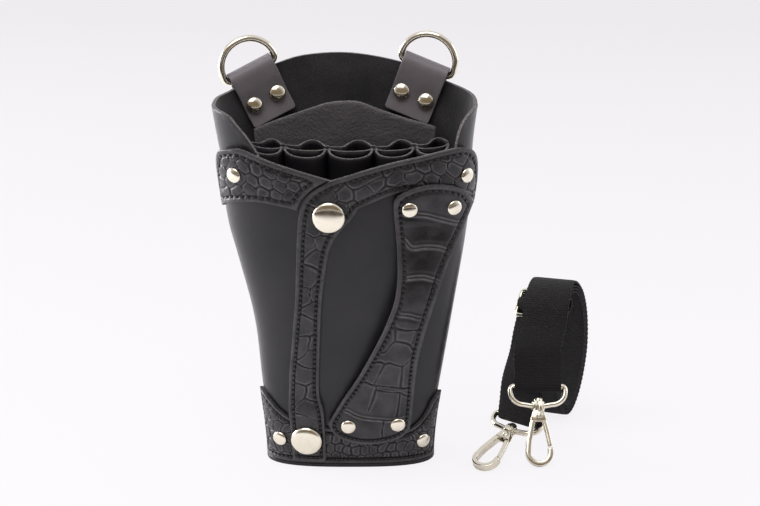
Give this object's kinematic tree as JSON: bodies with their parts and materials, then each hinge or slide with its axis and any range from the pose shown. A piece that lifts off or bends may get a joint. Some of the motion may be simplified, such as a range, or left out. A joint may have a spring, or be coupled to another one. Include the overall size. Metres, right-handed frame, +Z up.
{
  "type": "shears holster",
  "caption": "Belt holster for hairdressing shears: tapered black leather pouch with shears tubes, crocodile-grain trim, rivets and D-rings, with its rolled webbing strap and snap hooks.",
  "frame": {"origin": "centre of the sole's flat underside", "axes": "+Z up along the holster, the front with the trim and the tool loop faces -Y, +X towards the rolled strap"},
  "size_m": [0.1999, 0.116, 0.2219],
  "materials": {
    "smooth_leather": "satin black full-grain leather, cut edges light grey",
    "crocodile_leather": "satin black leather embossed with crocodile scales",
    "pebbled_leather": "glossy black leather with a pebbled grain",
    "nickel": "polished nickel plate",
    "spring_steel": "bright spring wire",
    "webbing": "matt black ribbed polyester webbing",
    "thread": "black waxed sewing thread"
  },
  "bodies": {
    "holster": {"back_shell": "smooth_leather", "bottom_band": "crocodile_leather", "cap_strip_low": "nickel", "cap_strip_top": "nickel", "divider": "pebbled_leather", "front_panel": "smooth_leather", "left_band": "crocodile_leather", "right_band": "crocodile_leather", "ring_tab_left": "smooth_leather", "ring_tab_right": "smooth_leather", "rivet_band_low_left": "nickel", "rivet_band_low_right": "nickel", "rivet_band_top_left": "nickel", "rivet_band_top_right": "nickel", "rivet_loop_low_left": "nickel", "rivet_loop_low_right": "nickel", "rivet_loop_top_left": "nickel", "rivet_loop_top_right": "nickel", "rivet_tab_left_inner": "nickel", "rivet_tab_left_outer": "nickel", "rivet_tab_right_inner": "nickel", "rivet_tab_right_outer": "nickel", "sole": "smooth_leather", "tool_strap": "crocodile_leather", "tube_back_wall": "smooth_leather", "tube_front_wall": "smooth_leather"},
    "ring_left": {"d_ring_left": "nickel"},
    "ring_right": {"d_ring_right": "nickel"},
    "strap": {"strap_webbing": "webbing", "strap_slider": "nickel"},
    "eye_a": {"hook_a_eye": "nickel"},
    "snap_a": {"hook_a": "nickel", "hook_a_pin": "nickel", "hook_a_spring": "spring_steel"},
    "gate_a": {"hook_a_gate": "nickel"},
    "eye_b": {"hook_b_eye": "nickel"},
    "snap_b": {"hook_b": "nickel", "hook_b_pin": "nickel", "hook_b_spring": "spring_steel"},
    "gate_b": {"hook_b_gate": "nickel"}
  },
  "joints": [
    {"name": "ring_left_swing", "type": "hinge", "parent": "holster", "child": "ring_left", "pos_m": [-0.04963, 0.02676, 0.2016], "axis": [-0.8706, -0.2767, -0.4067], "range_deg": [-90, 110]},
    {"name": "ring_right_swing", "type": "hinge", "parent": "holster", "child": "ring_right", "pos_m": [0.03871, 0.02973, 0.203], "axis": [-0.9207, 0.1879, 0.342], "range_deg": [-90, 110]},
    {"name": "strap_lift", "type": "slide", "parent": "holster", "child": "strap", "axis": [0, 0, 1], "range_m": [0, 0.12]},
    {"name": "eye_a_fold", "type": "hinge", "parent": "strap", "child": "eye_a", "pos_m": [0.0993, 0.0062, 0.0355], "axis": [-1, 0, 0], "range_deg": [0, 110]},
    {"name": "snap_a_swivel", "type": "hinge", "parent": "eye_a", "child": "snap_a", "pos_m": [0.0993, 0.00057, 0.02773], "axis": [0, -0.5868, -0.8097], "continuous": true},
    {"name": "gate_a_open", "type": "hinge", "parent": "snap_a", "child": "gate_a", "pos_m": [0.0999, -0.00307, 0.02271], "axis": [0, 0.8097, -0.5868], "range_deg": [0, 28], "stiffness_Nm_per_rad": 0.004, "springref_deg": -20.05},
    {"name": "eye_b_fold", "type": "hinge", "parent": "strap", "child": "eye_b", "pos_m": [0.091, 0.0112, 0.0144], "axis": [-0.8111, 0.5849, 0], "range_deg": [-60, 10]},
    {"name": "snap_b_swivel", "type": "hinge", "parent": "eye_b", "child": "snap_b", "pos_m": [0.08564, 0.00377, 0.01153], "axis": [-0.5581, -0.774, -0.299], "continuous": true},
    {"name": "gate_b_open", "type": "hinge", "parent": "snap_b", "child": "gate_b", "pos_m": [0.08267, -0.00138, 0.00967], "axis": [0.1749, 0.2425, -0.9542], "range_deg": [0, 28], "stiffness_Nm_per_rad": 0.004, "springref_deg": -20.05}
  ]
}
